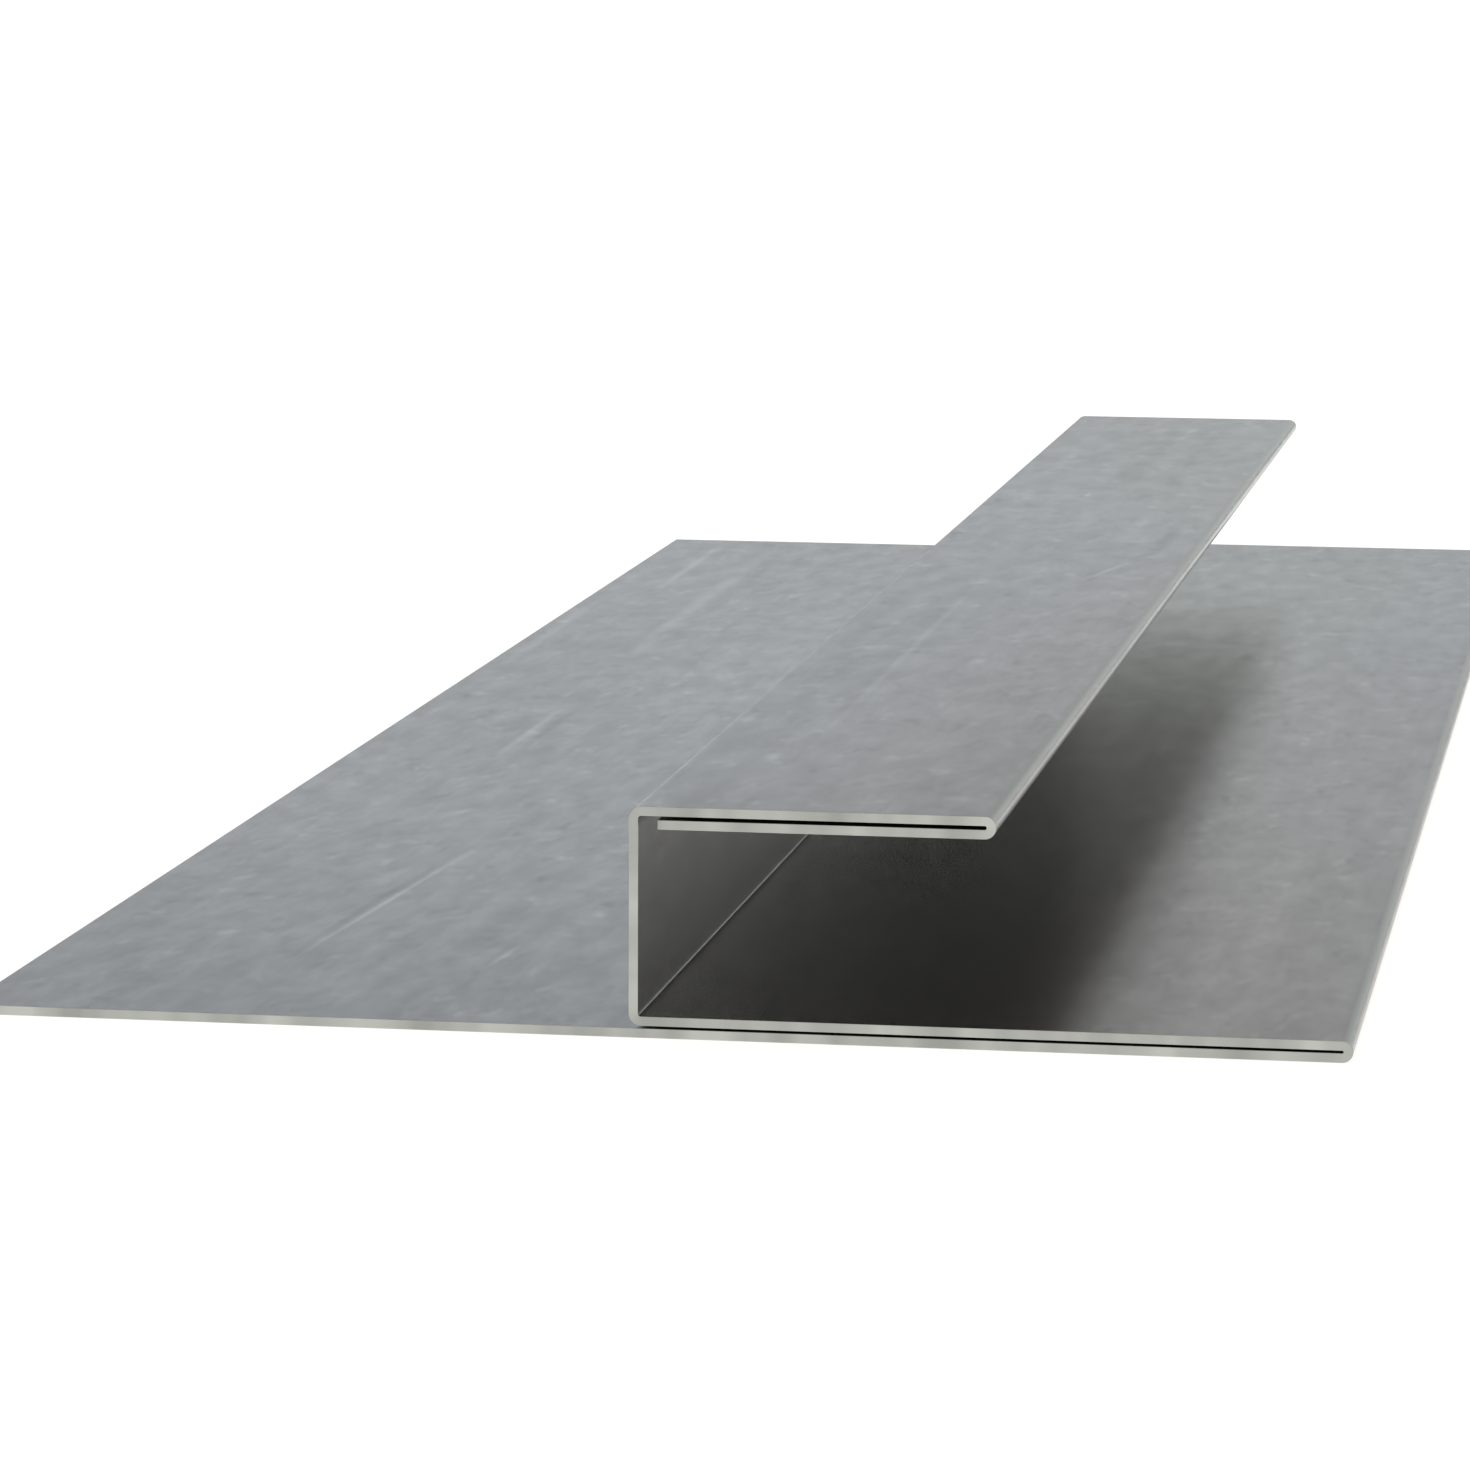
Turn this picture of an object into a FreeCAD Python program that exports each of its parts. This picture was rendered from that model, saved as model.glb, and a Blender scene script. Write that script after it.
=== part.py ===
import FreeCAD, Part
import math
import os

from FreeCAD import Vector

# A facade panel h-profile: one strip of zinc sheet, folded lengthways on a bending machine.
# Seen along +Y, the strip starts at the free edge of the fixing flange, runs right along the wall and on
# under the panel slot, folds back on itself to double the slot's floor, turns up into the web, turns right
# into the face flange, and is hemmed under so that its second free edge stops just short of the web.
# X lies across the profile, Y along it and Z away from the wall. The origin is the middle of the underside.

# Driving dimensions, in millimetres
profile_length = 350.0
sheet_thickness = 0.8
fixing_flange_width = 56.5  # free edge to the web's outer face
floor_flange_width = 59.5  # the web's outer face to the nose of the doubled floor
face_flange_width = 30.3  # the web's outer face to the nose of the hem
slot_height = 15.6  # clear height between the floor and the hem's return
floor_fold_gap = 0.2  # slit between the floor's two layers
hem_gap = 0.3  # slit between the face flange and its return
return_setback = 1.6  # the web's inner face to the return's cut edge
web_bend_radius = 0.25  # inside radius of the two bends at the web


class FoldedStrip:
    """The section of a folded strip, walked along its middle line from one cut edge to the other.

    Each flat or bend adds one edge to the left-hand face of the strip and one to its right-hand face.
    """

    def __init__(self, start, thickness):
        self.point = start
        self.heading = 0.0  # degrees, where 0 runs along +X and 90 along +Z
        self.thickness = thickness
        self.left_face = []
        self.right_face = []

    def beside(self, offset):
        """The point that lies offset to the left of the middle line."""
        angle = math.radians(self.heading)
        return self.point + Vector(-math.sin(angle), 0, math.cos(angle)) * offset

    def faces(self):
        """The points on the left-hand and right-hand faces at the end of what has been walked."""
        return self.beside(self.thickness / 2), self.beside(-self.thickness / 2)

    def flat(self, length):
        """Walks straight on."""
        left_start, right_start = self.faces()
        angle = math.radians(self.heading)
        self.point = self.point + Vector(math.cos(angle), 0, math.sin(angle)) * length
        left_end, right_end = self.faces()
        self.left_face.append(Part.LineSegment(left_start, left_end))
        self.right_face.append(Part.LineSegment(right_start, right_end))

    def bend(self, turn, inside_radius):
        """Walks round a bend; a turn above zero is to the left, and below zero to the right."""
        reach = math.copysign(inside_radius + self.thickness / 2, turn)
        centre = self.beside(reach)
        start_heading = self.heading
        left_points = []
        right_points = []
        for share in (0.0, 0.5, 1.0):
            self.heading = start_heading + turn * share
            self.point = centre
            self.point = self.beside(-reach)
            left, right = self.faces()
            left_points.append(left)
            right_points.append(right)
        self.left_face.append(Part.Arc(*left_points))
        self.right_face.append(Part.Arc(*right_points))

    def section(self):
        """The strip's closed outline as a face, with a square cut edge at each end."""
        first_edge = Part.LineSegment(self.left_face[0].StartPoint, self.right_face[0].StartPoint)
        last_edge = Part.LineSegment(self.left_face[-1].EndPoint, self.right_face[-1].EndPoint)
        outline = [first_edge, *self.left_face, last_edge, *self.right_face]
        edges = Part.sortEdges([curve.toShape() for curve in outline])[0]
        return Part.Face(Part.Wire(edges))


def h_profile():
    """The strip folded to its section and cut square at both ends."""
    floor_fold_radius = floor_fold_gap / 2
    hem_radius = hem_gap / 2
    floor_nose = floor_fold_radius + sheet_thickness  # what the floor's fold takes of its width
    hem_nose = hem_radius + sheet_thickness  # what the hem takes of the face flange's width
    web_corner = web_bend_radius + sheet_thickness  # what a web bend takes of the flange beside it
    web_inside = slot_height + sheet_thickness + hem_gap  # from the floor up to the face flange
    overall_width = fixing_flange_width + floor_flange_width

    free_edge = Vector(-overall_width / 2, -profile_length / 2, sheet_thickness / 2)
    strip = FoldedStrip(free_edge, sheet_thickness)
    strip.flat(overall_width - floor_nose)  # fixing flange and the floor's lower layer
    strip.bend(180, floor_fold_radius)
    strip.flat(floor_flange_width - floor_nose - web_corner)  # the floor's upper layer
    strip.bend(-90, web_bend_radius)
    strip.flat(web_inside - 2 * web_bend_radius)  # web
    strip.bend(-90, web_bend_radius)
    strip.flat(face_flange_width - web_corner - hem_nose)  # face flange
    strip.bend(-180, hem_radius)
    strip.flat(face_flange_width - hem_nose - sheet_thickness - return_setback)  # return
    return strip.section().extrude(Vector(0, profile_length, 0))


os.makedirs("parts", exist_ok=True)
h_profile().exportStep("parts/h_profile.step")
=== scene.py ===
import math

import bpy
from mathutils import Matrix, Vector


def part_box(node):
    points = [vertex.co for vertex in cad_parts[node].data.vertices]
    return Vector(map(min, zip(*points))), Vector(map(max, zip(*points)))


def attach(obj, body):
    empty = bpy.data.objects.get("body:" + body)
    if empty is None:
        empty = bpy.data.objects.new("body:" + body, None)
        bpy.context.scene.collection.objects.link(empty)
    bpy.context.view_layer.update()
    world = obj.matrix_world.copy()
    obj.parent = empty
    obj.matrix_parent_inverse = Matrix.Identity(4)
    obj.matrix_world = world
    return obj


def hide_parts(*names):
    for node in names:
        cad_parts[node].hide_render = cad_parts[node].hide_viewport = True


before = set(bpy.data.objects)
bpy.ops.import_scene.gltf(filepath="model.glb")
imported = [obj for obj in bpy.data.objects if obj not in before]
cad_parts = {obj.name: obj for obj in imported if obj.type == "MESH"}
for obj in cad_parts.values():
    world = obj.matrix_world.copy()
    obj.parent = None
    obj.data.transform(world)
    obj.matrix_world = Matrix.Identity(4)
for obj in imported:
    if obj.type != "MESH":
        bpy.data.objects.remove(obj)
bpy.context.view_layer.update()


# Folded sheet
# One strip of pre-weathered zinc, 0.8 mm thick and about 250 mm wide, slit from a rolled coil. A bending
# machine folds it lengthways: the slot's floor is doubled, the web stands up from it, the face flange turns
# over it, and the flange's free edge is hemmed under. Nothing is joined on, and the ends are sheared square.

mm = 0.001

lowest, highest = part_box("h_profile")
profile_length = highest.y - lowest.y
overall_width = highest.x - lowest.x
overall_height = highest.z - lowest.z
sheet_thickness = 0.8 * mm
floor_flange_width = 59.5 * mm  # the web's outer face to the nose of the doubled floor
face_flange_width = 30.3 * mm  # the web's outer face to the nose of the hem
floor_fold_gap = 0.2 * mm  # the slit between the floor's two layers
hem_gap = 0.3 * mm  # the slit between the face flange and its return
return_setback = 1.6 * mm  # the web's inner face to the cut edge of the hem's return
web_bend_radius = 0.25 * mm  # inside radius
web_bend = 90  # degrees
full_fold = 180  # degrees; the sheet lies back on itself
bend_step = 11.25  # degrees
smooth_limit = 15  # degrees; a bend's steps blend into one curve, and the cut edges stay crisp
flat_margin = 0.3 * mm  # a line of points this far from each bend keeps the flat's shading flat
edge_easing = 0.05 * mm  # how far the shear's sharp corners are broken
easing_limit = 60  # degrees; gentler corners, such as a bend's steps, aren't broken

floor_fold_radius = floor_fold_gap / 2
hem_radius = hem_gap / 2
floor_nose = floor_fold_radius + sheet_thickness  # what the fold takes of the floor's width
hem_nose = hem_radius + sheet_thickness  # what the hem takes of the face flange's width
web_corner = web_bend_radius + sheet_thickness  # what a web bend takes of the flange beside it
floor_height = 2 * sheet_thickness + floor_fold_gap
web_height = overall_height - floor_height - sheet_thickness

# Each fold is a flat's width, the bend at its end, above zero to the left, and the bend's inside radius.
folds = [
    (overall_width - floor_nose, full_fold, floor_fold_radius),  # fixing flange and the floor's lower layer
    (floor_flange_width - floor_nose - web_corner, -web_bend, web_bend_radius),  # the floor's upper layer
    (web_height - 2 * web_bend_radius, -web_bend, web_bend_radius),  # web
    (face_flange_width - web_corner - hem_nose, -full_fold, hem_radius),  # face flange
    (face_flange_width - hem_nose - sheet_thickness - return_setback, 0, 0),  # return
]


def fold_line(x, z, folds):
    """Walks the middle of the folded sheet from one cut edge to the other.

    Gives the points, each (x, z, distance across the flat strip, fold), and the distance across the strip
    at which each flat starts. A point's fold is 1 in a full fold to the left, -1 in one to the right, and
    0 elsewhere.
    """
    heading = 0.0
    across = 0.0
    line = [(x, z, across, 0.0)]
    flat_starts = []
    for flat, turn, inside_radius in folds:
        flat_starts.append(across)
        for reach in (flat_margin, flat - flat_margin, flat):
            flat_x = x + reach * math.cos(heading)
            flat_z = z + reach * math.sin(heading)
            line.append((flat_x, flat_z, across + reach, 0.0))
        x, z, across, _ = line[-1]
        steps = round(abs(turn) / bend_step)
        turn_step = math.radians(turn / steps) if steps else 0.0
        middle_radius = inside_radius + sheet_thickness / 2
        chord = 2 * middle_radius * math.sin(abs(turn_step) / 2)
        for step in range(1, steps + 1):
            x += chord * math.cos(heading + turn_step / 2)
            z += chord * math.sin(heading + turn_step / 2)
            heading += turn_step
            across += middle_radius * abs(turn_step)
            in_full_fold = abs(turn) == full_fold and step < steps
            line.append((x, z, across, turn / full_fold if in_full_fold else 0.0))
    return line, flat_starts


line, flat_starts = fold_line(lowest.x, lowest.z + sheet_thickness / 2, folds)
middle_y = (lowest.y + highest.y) / 2

line_mesh = bpy.data.meshes.new("folded_sheet")
line_points = [(x, middle_y, z) for x, z, _, _ in line]
line_edges = [(i, i + 1) for i in range(len(line) - 1)]
line_mesh.from_pydata(line_points, line_edges, [])
point_values = {
    "across": [across for _, _, across, _ in line],
    "fold": [fold for _, _, _, fold in line],
    "strip_end": [1.0] + [0.0] * (len(line) - 2) + [1.0],
}
for name, values in point_values.items():
    line_mesh.attributes.new(name, "FLOAT", "POINT").data.foreach_set("value", values)
folded_sheet = bpy.data.objects.new("folded_sheet", line_mesh)
bpy.context.scene.collection.objects.link(folded_sheet)


def linear(hex_colour):
    """An sRGB hex colour as linear RGBA, opaque."""
    channels = [int(hex_colour[i : i + 2], 16) / 255 for i in (1, 3, 5)]
    return [c / 12.92 if c <= 0.04045 else ((c + 0.055) / 1.055) ** 2.4 for c in channels] + [1.0]


def add_node(tree, kind, inputs=None, **settings):
    """Adds a node, makes its settings, and sets or links its inputs by name or number."""
    node = tree.nodes.new(kind)
    for name, value in settings.items():
        setattr(node, name, value)
    for socket, value in (inputs or {}).items():
        if isinstance(value, bpy.types.NodeSocket):
            tree.links.new(value, node.inputs[socket])
        else:
            node.inputs[socket].default_value = value
    return node


# Pre-weathered zinc: rolled, then pickled to a grey patina. It gives a soft, blurred mirror whose sheen
# spreads more along the rolling direction than across it, with small cloudy blotches and flecks that the
# rolling drew out lengthways, long faint streaks, and a few pale and dark marks from handling.
zinc = bpy.data.materials.new("pre_weathered_zinc")
zinc.use_nodes = True
tree = zinc.node_tree
tree.nodes.clear()

across = add_node(tree, "ShaderNodeAttribute", attribute_name="across").outputs["Fac"]
weather_side = add_node(tree, "ShaderNodeAttribute", attribute_name="weather_side").outputs["Fac"]
fold = add_node(tree, "ShaderNodeAttribute", attribute_name="fold").outputs["Fac"]
place = add_node(tree, "ShaderNodeTexCoord").outputs["Object"]
place_parts = add_node(tree, "ShaderNodeSeparateXYZ", {0: place}).outputs
on_strip = add_node(
    tree, "ShaderNodeCombineXYZ", {"X": across, "Y": place_parts["Y"], "Z": weather_side}
).outputs[0]
side_gap = 40.0  # keeps the patterns of the sheet's two sides apart, in millimetres
strip_mm = add_node(
    tree, "ShaderNodeVectorMath", {0: on_strip, 1: (1 / mm, 1 / mm, side_gap)}, operation="MULTIPLY"
).outputs[0]

# Each pattern is its blotches' width across and length along the strip in millimetres, the noise's detail,
# the noise level from which it makes the patina paler, and how much paler it is at the full level; below
# zero is darker. One that starts at the middle level works both ways, and one that starts higher gives
# scattered spots.
middle_level = 0.5
full_level = 0.8
patterns = {
    "clouds": (45.0, 110.0, 2.0, middle_level, 0.10),
    "mottling": (3.2, 11.0, 2.0, middle_level, 0.15),
    "pale flecks": (3.0, 7.0, 2.0, 0.60, 0.40),
    "dark flecks": (2.4, 6.0, 2.0, 0.60, -0.30),
    "rolling streaks": (1.6, 240.0, 3.0, middle_level, 0.05),
    "grain": (0.7, 3.0, 1.0, middle_level, 0.06),
}
noises = {}
brightness = 1.0
for name, (width, length, detail, start_level, depth) in patterns.items():
    where = add_node(
        tree, "ShaderNodeVectorMath", {0: strip_mm, 1: (1 / width, 1 / length, 1.0)}, operation="MULTIPLY"
    )
    noise = add_node(
        tree,
        "ShaderNodeTexNoise",
        {"Vector": where.outputs[0], "Scale": 1.0, "Detail": detail, "Roughness": 0.55},
    )
    noises[name] = noise.outputs["Fac"]
    shift = add_node(
        tree,
        "ShaderNodeMapRange",
        {"Value": noises[name], "From Min": start_level, "From Max": full_level, "To Max": depth},
        clamp=start_level > middle_level,
    )
    brightness = add_node(tree, "ShaderNodeMath", {0: brightness, 1: shift.outputs[0]}).outputs[0]


def inside_ellipse(tree, where, middle, half_size, lean=0.0):
    """How far a place lies inside an ellipse: 1 at its middle, falling softly to 0 at its rim."""
    within = add_node(
        tree,
        "ShaderNodeMapping",
        {
            "Vector": where,
            "Location": middle,
            "Rotation": (0.0, 0.0, math.radians(lean)),
            "Scale": (*half_size, 1.0),
        },
        vector_type="TEXTURE",
    )
    reach = add_node(tree, "ShaderNodeVectorMath", {0: within.outputs[0]}, operation="LENGTH")
    return add_node(
        tree,
        "ShaderNodeMapRange",
        {"Value": reach.outputs["Value"], "From Min": 1.0, "From Max": 0.0},
        interpolation_type="SMOOTHSTEP",
    ).outputs[0]


# Marks of the rolls and of handling on the weather side. Each gives in millimetres how far its middle lies
# across its flange and along the profile, and its width and length. Its lean in degrees follows, and then
# how much paler it is; below zero is darker. The first two on the face flange are painted light and shade
# rather than marks: they make the whole flange paler over its front half and darker over its back half.
fixing_flange_start = flat_starts[0] / mm
face_flange_start = flat_starts[3] / mm
marks_and_painted_light = {
    fixing_flange_start: [
        (15.3, 106.0, 3.4, 125.0, 0.0, 0.28),
        (16.0, 58.0, 2.6, 26.0, 0.0, 0.30),
        (16.0, -11.0, 1.8, 50.0, 0.0, 0.45),
        (17.6, -11.0, 1.8, 44.0, 0.0, -0.22),
        (7.5, 138.0, 2.4, 70.0, 0.0, 0.30),
        (2.0, 75.0, 2.6, 160.0, 0.0, 0.18),
        (23.9, -121.0, 1.0, 70.0, -3.6, 0.58),
        (22.9, -121.0, 1.4, 66.0, -3.6, -0.22),
        (25.6, -96.0, 2.0, 24.0, -4.0, 0.24),
        (40.0, -145.0, 1.1, 15.0, -4.0, 0.45),
        (11.0, -82.0, 3.0, 8.0, 0.0, 0.20),
        (19.2, -99.0, 2.2, 7.0, 0.0, 0.30),
    ],
    face_flange_start: [
        # Painted light and shade: the face flange's front half paler, its back half darker.
        (10.0, -115.0, 44.0, 250.0, 0.0, 0.11),
        (14.0, 110.0, 44.0, 230.0, 0.0, -0.11),
        (8.8, -82.0, 1.4, 190.0, 0.0, 0.20),
        (6.3, -146.0, 2.2, 7.0, 0.0, 0.45),
        (0.6, -124.0, 2.0, 6.0, 0.0, 0.40),
        (16.3, -81.0, 2.4, 8.0, 0.0, 0.40),
        (20.2, -82.0, 2.2, 8.0, 0.0, -0.25),
        (21.0, -6.0, 1.2, 26.0, -11.0, 0.35),
        (20.5, 35.0, 3.0, 50.0, 0.0, 0.22),
        (24.9, 28.0, 3.0, 55.0, 0.0, -0.22),
        (11.0, 72.0, 1.4, 5.0, 0.0, 0.45),
        (12.4, 156.0, 4.0, 16.0, 0.0, 0.22),
    ],
}
for flange_start, flange_marks_and_light in marks_and_painted_light.items():
    for middle, distance, width, length, lean, depth in flange_marks_and_light:
        mark_middle = (flange_start + middle, distance, side_gap)
        share = inside_ellipse(tree, strip_mm, mark_middle, (width / 2, length / 2), lean)
        brightness = add_node(
            tree, "ShaderNodeMath", {0: share, 1: depth, 2: brightness}, operation="MULTIPLY_ADD"
        ).outputs[0]

# The patina is a bluish grey. The sheet's other side, which lines the slot, is painted a little darker as
# shade, and browner deep under the face flange, where the painted shade is deepest.
slot_shade_from_x = 50 * mm  # where the slot's painted shade starts to turn brown
slot_shade_full_x = 15 * mm  # the slot's painted shade is brownest from here to the web
inner_side = add_node(tree, "ShaderNodeMath", {0: 1.0, 1: weather_side}, operation="SUBTRACT").outputs[0]
slot_shade_depth = add_node(
    tree,
    "ShaderNodeMapRange",
    {"Value": place_parts["X"], "From Min": slot_shade_from_x, "From Max": slot_shade_full_x},
    interpolation_type="SMOOTHSTEP",
).outputs[0]
# Painted shade: the slot's lining is darker, and browner towards the web.
slot_shade_tint = add_node(
    tree,
    "ShaderNodeMix",
    {"Factor": slot_shade_depth, "A": linear("#A1A4A8"), "B": linear("#9F9D97")},
    data_type="RGBA",
).outputs["Result"]
patina_and_painted_light = add_node(
    tree,
    "ShaderNodeMix",
    {"Factor": inner_side, "A": linear("#AAADB2"), "B": slot_shade_tint},
    data_type="RGBA",
).outputs["Result"]

# Each painted cast of light is an ellipse seen from above, in millimetres: its middle, its half width and
# half length, and its colour. They paint the colour of the light onto the patina, greener towards the back
# end and browner and darker towards the front end.
painted_light_casts = {
    "green back": (25.0, highest.y / mm, 50.0, 300.0, "#A9ADAB"),
    "brown front": (45.0, lowest.y / mm, 55.0, 330.0, "#9E9996"),
}
# Painted light: casts of the light's colour, greener at the back end, browner and darker at the front end.
for area_x, area_y, half_width, half_length, colour in painted_light_casts.values():
    area_middle = (area_x * mm, area_y * mm, 0.0)
    share = inside_ellipse(tree, place, area_middle, (half_width * mm, half_length * mm))
    patina_and_painted_light = add_node(
        tree, "ShaderNodeMix", {"Factor": share, "A": patina_and_painted_light, "B": linear(colour)}, data_type="RGBA"
    ).outputs["Result"]
shaded = add_node(
    tree, "ShaderNodeVectorMath", {0: patina_and_painted_light, "Scale": brightness}, operation="SCALE"
).outputs[0]
smooth_roughness = add_node(
    tree, "ShaderNodeMapRange", {"Value": noises["mottling"], "To Min": 0.255, "To Max": 0.22}
).outputs[0]

# The two full folds stretch their outer side until the patina crazes, which shows the paler, rougher bare
# metal. This is kept to the upward-facing part of each fold as a painted highlight, so a fold's top reads
# lit and its lower side keeps the patina's colour. The outer side of a fold to the right is the weather
# side, and that of a fold to the left is the other one.
side_sign = add_node(
    tree, "ShaderNodeMath", {0: weather_side, 1: -2.0, 2: 1.0}, operation="MULTIPLY_ADD"
).outputs[0]
crazing = add_node(
    tree, "ShaderNodeMath", {0: fold, 1: side_sign}, operation="MULTIPLY", use_clamp=True
).outputs[0]
facing = add_node(tree, "ShaderNodeNewGeometry").outputs["Normal"]
upwards = add_node(tree, "ShaderNodeSeparateXYZ", {0: facing}).outputs["Z"]
# Painted highlight: only the upward-facing part of a fold is made paler.
upward_painted_highlight = add_node(
    tree,
    "ShaderNodeMapRange",
    {"Value": upwards, "From Min": 0.3, "From Max": 0.8},
    interpolation_type="SMOOTHSTEP",
).outputs[0]
crazing_and_painted_highlight = add_node(tree, "ShaderNodeMath", {0: crazing, 1: upward_painted_highlight}, operation="MULTIPLY").outputs[0]
crazing_and_highlight_colour = add_node(
    tree, "ShaderNodeMix", {"Factor": crazing_and_painted_highlight, "A": shaded, "B": linear("#BEC0BA")}, data_type="RGBA"
)
crazing_and_highlight_roughness = add_node(tree, "ShaderNodeMix", {"Factor": crazing_and_painted_highlight, "A": smooth_roughness, "B": 0.27})
rolling_direction = add_node(tree, "ShaderNodeCombineXYZ", {"Y": 1.0})
zinc_shader = add_node(
    tree,
    "ShaderNodeBsdfPrincipled",
    {
        "Base Color": crazing_and_highlight_colour.outputs["Result"],
        "Metallic": 1.0,
        "Roughness": crazing_and_highlight_roughness.outputs["Result"],
        "Anisotropic": 0.55,
        "Tangent": rolling_direction.outputs[0],
    },
)
add_node(tree, "ShaderNodeOutputMaterial", {"Surface": zinc_shader.outputs[0]})

# Sheared zinc: the bare metal of the cut edges, without patina. The shear leaves a matt, torn surface, so it
# is paler than the faces, with soft lighter and darker patches along the cut.
cut_zinc = bpy.data.materials.new("sheared_zinc")
cut_zinc.use_nodes = True
tree = cut_zinc.node_tree
tree.nodes.clear()
across = add_node(tree, "ShaderNodeAttribute", attribute_name="across").outputs["Fac"]
place = add_node(tree, "ShaderNodeTexCoord").outputs["Object"]
along = add_node(tree, "ShaderNodeSeparateXYZ", {0: place}).outputs["Y"]
run = add_node(tree, "ShaderNodeMath", {0: across, 1: along}).outputs[0]
patch_length = 6.0 * mm
patches = add_node(
    tree,
    "ShaderNodeTexNoise",
    {"W": run, "Scale": 1 / patch_length, "Detail": 2.0},
    noise_dimensions="1D",
)
cut_colour = add_node(tree, "ShaderNodeValToRGB", {"Fac": patches.outputs["Fac"]})
cut_colour.color_ramp.elements[0].position = 0.3
cut_colour.color_ramp.elements[0].color = linear("#A5A8A4")
cut_colour.color_ramp.elements[1].position = 0.7
cut_colour.color_ramp.elements[1].color = linear("#C4C7C2")
cut_shader = add_node(
    tree,
    "ShaderNodeBsdfPrincipled",
    {"Base Color": cut_colour.outputs["Color"], "Metallic": 1.0, "Roughness": 0.5},
)
add_node(tree, "ShaderNodeOutputMaterial", {"Surface": cut_shader.outputs[0]})

# The tree draws the sheet's cut end, a long thin rectangle, along the fold line.
sweep = bpy.data.node_groups.new("folded_sheet", "GeometryNodeTree")
sweep_sizes = {
    "Fold Line": ("NodeSocketGeometry", None),
    "Length": ("NodeSocketFloat", profile_length),
    "Thickness": ("NodeSocketFloat", sheet_thickness),
    "Face Material": ("NodeSocketMaterial", zinc),
    "Edge Material": ("NodeSocketMaterial", cut_zinc),
}
sockets = {
    name: sweep.interface.new_socket(name, in_out="INPUT", socket_type=kind)
    for name, (kind, _) in sweep_sizes.items()
}
sweep.interface.new_socket("Sheet", in_out="OUTPUT", socket_type="NodeSocketGeometry")

given = add_node(sweep, "NodeGroupInput").outputs
fold_curve = add_node(sweep, "GeometryNodeMeshToCurve", {"Mesh": given["Fold Line"]})
cut_end = add_node(
    sweep,
    "GeometryNodeCurvePrimitiveQuadrilateral",
    {"Width": given["Length"], "Height": given["Thickness"]},
)
cut_end_place = add_node(sweep, "GeometryNodeInputPosition")
cut_end_height = add_node(sweep, "ShaderNodeSeparateXYZ", {0: cut_end_place.outputs[0]})
on_weather_side = add_node(
    sweep, "ShaderNodeMath", {0: cut_end_height.outputs["Y"], 1: 0.0}, operation="LESS_THAN"
)
marked_end = add_node(
    sweep,
    "GeometryNodeStoreNamedAttribute",
    {"Geometry": cut_end.outputs[0], "Name": "weather_side", "Value": on_weather_side.outputs[0]},
    data_type="FLOAT",
    domain="POINT",
)
swept = add_node(
    sweep,
    "GeometryNodeCurveToMesh",
    {"Curve": fold_curve.outputs[0], "Profile Curve": marked_end.outputs[0], "Fill Caps": True},
)
whole = add_node(sweep, "GeometryNodeRealizeInstances", {"Geometry": swept.outputs[0]})
faced = add_node(
    sweep, "GeometryNodeSetMaterial", {"Geometry": whole.outputs[0], "Material": given["Face Material"]}
)

# A cut face looks along the profile, or has all its points on one of the strip's two edges.
face_normal = add_node(sweep, "GeometryNodeInputNormal")
normal_parts = add_node(sweep, "ShaderNodeSeparateXYZ", {0: face_normal.outputs[0]})
end_facing = add_node(sweep, "ShaderNodeMath", {0: normal_parts.outputs["Y"]}, operation="ABSOLUTE")
strip_end = add_node(sweep, "GeometryNodeInputNamedAttribute", {"Name": "strip_end"}, data_type="FLOAT")
cut = add_node(
    sweep, "ShaderNodeMath", {0: end_facing.outputs[0], 1: strip_end.outputs[0]}, operation="MAXIMUM"
)
is_cut = add_node(sweep, "FunctionNodeCompare", {"A": cut.outputs[0], "B": 0.9}, operation="GREATER_THAN")
edged = add_node(
    sweep,
    "GeometryNodeSetMaterial",
    {"Geometry": faced.outputs[0], "Selection": is_cut.outputs[0], "Material": given["Edge Material"]},
)
add_node(sweep, "NodeGroupOutput", {"Sheet": edged.outputs[0]})

folding = folded_sheet.modifiers.new("folding", "NODES")
folding.node_group = sweep
for name, (_, value) in sweep_sizes.items():
    if value is not None:
        folding[sockets[name].identifier] = value
easing = folded_sheet.modifiers.new("easing", "BEVEL")
easing.width = edge_easing
easing.segments = 2
easing.limit_method = "ANGLE"
easing.angle_limit = math.radians(easing_limit)

evaluated = folded_sheet.evaluated_get(bpy.context.evaluated_depsgraph_get())
sheet_mesh = bpy.data.meshes.new_from_object(evaluated)
folded_sheet.modifiers.clear()
folded_sheet.data = sheet_mesh
sheet_mesh.shade_smooth()
sheet_mesh.set_sharp_from_angle(angle=math.radians(smooth_limit))

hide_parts("h_profile")
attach(folded_sheet, "root")


# Floor
# The opal acrylic top of a wide light table, which the profile lies on. It glows by itself, so it reads as
# plain white with almost no shadow, and it lights the sheet's edges from below.

floor_half = 20.0  # metres
floor_drop = 0.02 * mm  # keeps the floor clear of the sheet's underside
floor_corners = [
    (-floor_half, -floor_half),
    (floor_half, -floor_half),
    (floor_half, floor_half),
    (-floor_half, floor_half),
]
floor_mesh = bpy.data.meshes.new("floor")
floor_mesh.from_pydata([(x, y, lowest.z - floor_drop) for x, y in floor_corners], [], [(0, 1, 2, 3)])
floor = bpy.data.objects.new("floor", floor_mesh)
bpy.context.scene.collection.objects.link(floor)

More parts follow.
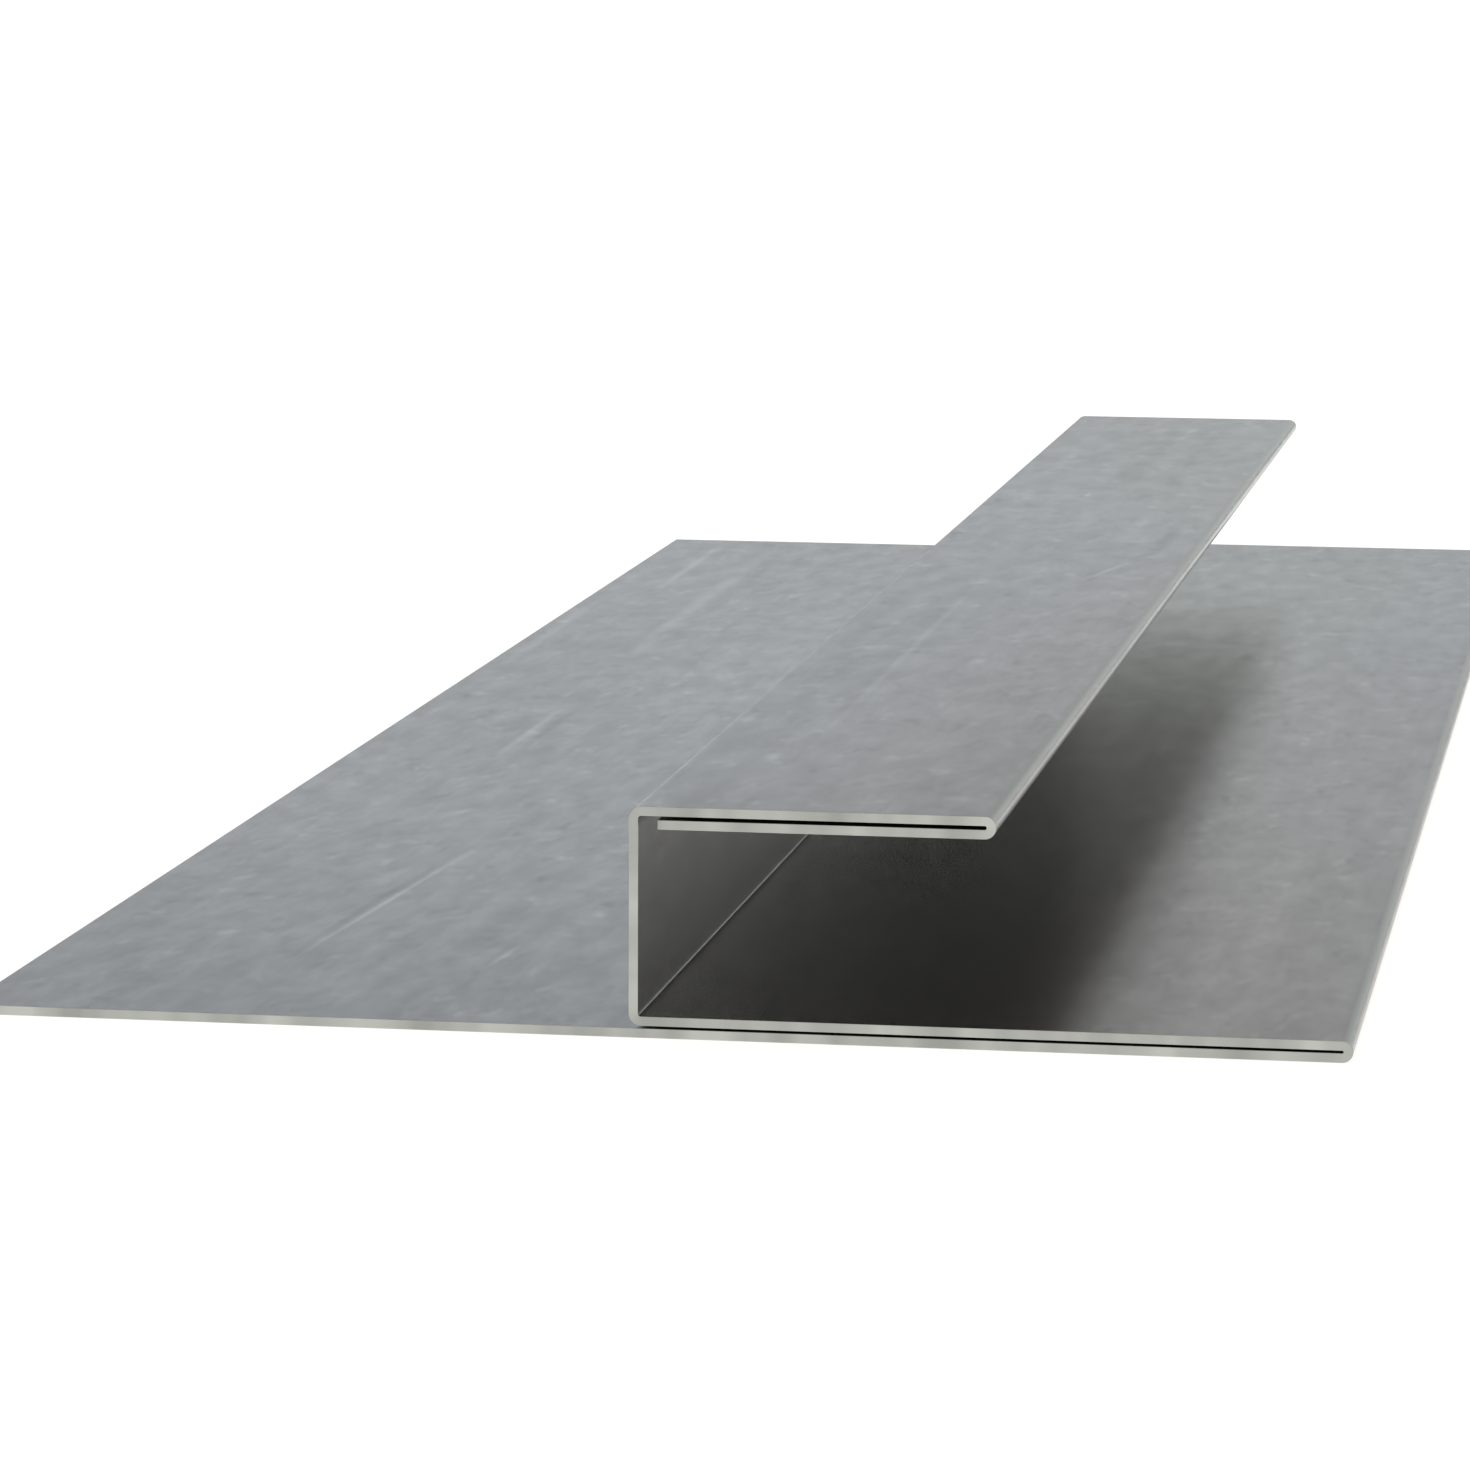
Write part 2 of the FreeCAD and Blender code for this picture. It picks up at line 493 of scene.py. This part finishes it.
acrylic = bpy.data.materials.new("opal_acrylic")
acrylic.use_nodes = True
acrylic_shader = acrylic.node_tree.nodes["Principled BSDF"].inputs
acrylic_shader["Base Color"].default_value = linear("#BCBCBC")
acrylic_shader["Roughness"].default_value = 1.0
acrylic_shader["Specular IOR Level"].default_value = 0.0
acrylic_shader["Emission Color"].default_value = linear("#FFFFFD")
acrylic_shader["Emission Strength"].default_value = 0.77
floor_mesh.materials.append(acrylic)


# Light
# A soft studio: two long soft boxes stand low behind the profile, the left-hand one a little brighter, with
# a dimmer one above them both. The room is an even soft white all round and overhead, and dark behind the
# boxes.

boxes_away = 1.0  # metres behind the profile's middle
boxes_left = -0.6
boxes_right = 0.7
boxes_meet = 0.0  # where the two low boxes meet
boxes_seam = 0.213  # the height at which the upper box starts


def soft_box(name, left, right, bottom, top, radiance):
    """Adds a flat upright light behind the profile that shines towards its front end."""
    light = bpy.data.lights.new(name, "AREA")
    light.shape = "RECTANGLE"
    light.size = right - left
    light.size_y = top - bottom
    light.energy = math.pi * light.size * light.size_y * radiance
    light.color = linear("#F6FAFC")[:3]
    box = bpy.data.objects.new(name, light)
    box.location = ((left + right) / 2, boxes_away, (bottom + top) / 2)
    box.rotation_euler = (math.radians(-90), 0.0, 0.0)
    box.visible_camera = False
    bpy.context.scene.collection.objects.link(box)


soft_box("left_soft_box", boxes_left, boxes_meet, bottom=0.078, top=boxes_seam, radiance=0.99)
soft_box("upper_soft_box", boxes_left, boxes_right, bottom=boxes_seam, top=0.445, radiance=0.57)
soft_box("right_soft_box", boxes_meet, boxes_right, bottom=0.050, top=boxes_seam, radiance=0.88)

room = bpy.data.worlds.new("soft_studio")
room.use_nodes = True
tree = room.node_tree
tree.nodes.clear()

# A direction's Y is 1 straight behind the profile. The room starts to fade 60 degrees from there, and is
# dark within 37 degrees.
looking = add_node(tree, "ShaderNodeTexCoord").outputs["Generated"]
backwards = add_node(tree, "ShaderNodeSeparateXYZ", {0: looking}).outputs["Y"]
room_strength = add_node(
    tree,
    "ShaderNodeMapRange",
    {"Value": backwards, "From Min": 0.5, "From Max": 0.8, "To Min": 0.75, "To Max": 0.0},
    interpolation_type="SMOOTHSTEP",
)
room_light = add_node(
    tree, "ShaderNodeBackground", {"Color": linear("#FFFBF5"), "Strength": room_strength.outputs[0]}
)
add_node(tree, "ShaderNodeOutputWorld", {"Surface": room_light.outputs[0]})
bpy.context.scene.world = room
bpy.context.scene.view_settings.view_transform = "Standard"


# Camera
# A long lens in front of the profile, to the right of its middle and above the face flange. It looks along
# the flanges, turned about 9 degrees to the left and 8 degrees down.

camera_place = Vector((84.83, -652.66, 96.70)) * mm
camera_right = Vector((0.98698, 0.16081, 0.00406))
camera_up = Vector((-0.02741, 0.14327, 0.98930))
camera_back = camera_right.cross(camera_up)
lens = bpy.data.cameras.new("camera")
lens.sensor_width = 36.0
lens.lens = 146.89
lens.clip_start = 0.01
camera = bpy.data.objects.new("camera", lens)
turned = Matrix((camera_right, camera_up, camera_back)).transposed().to_4x4()
camera.matrix_world = Matrix.Translation(camera_place) @ turned
bpy.context.scene.collection.objects.link(camera)
bpy.context.scene.camera = camera
